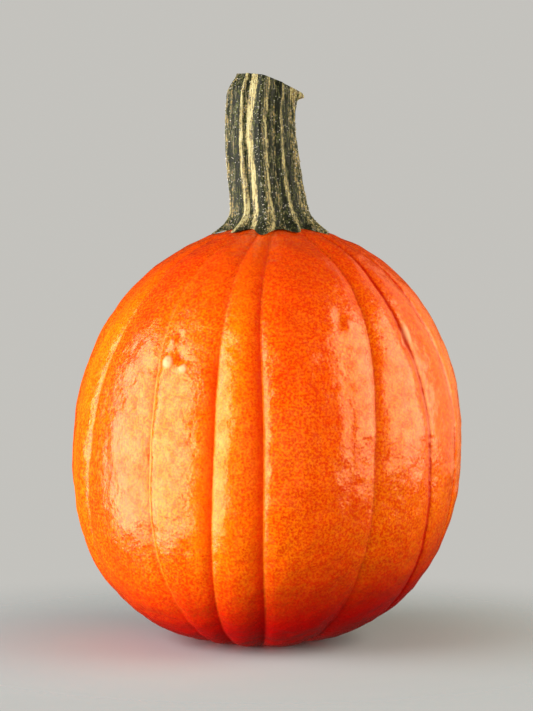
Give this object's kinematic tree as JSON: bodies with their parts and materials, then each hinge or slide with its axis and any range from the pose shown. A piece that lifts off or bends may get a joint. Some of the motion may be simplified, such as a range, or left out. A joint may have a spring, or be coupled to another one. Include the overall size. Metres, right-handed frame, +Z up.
{
  "type": "pumpkin",
  "caption": "Small round ribbed pumpkin with a dry, ridged, slightly bent stem, standing on a small flat spot.",
  "frame": {"origin": "middle of the flat spot under the fruit, on the surface that it stands on", "axes": "+Z up along the stem, -Y towards the front, +X to the right seen from the front"},
  "size_m": [0.1486, 0.1477, 0.2164],
  "materials": {
    "rind": "waxy satin-gloss orange rind, paler in the furrows, with fine darker flecks",
    "stem": "dry matt stem, striped dark green, olive and cream, with pale pimples along its ridges"
  },
  "bodies": {
    "root": {"fruit": "rind", "stem": "stem"}
  },
  "joints": []
}
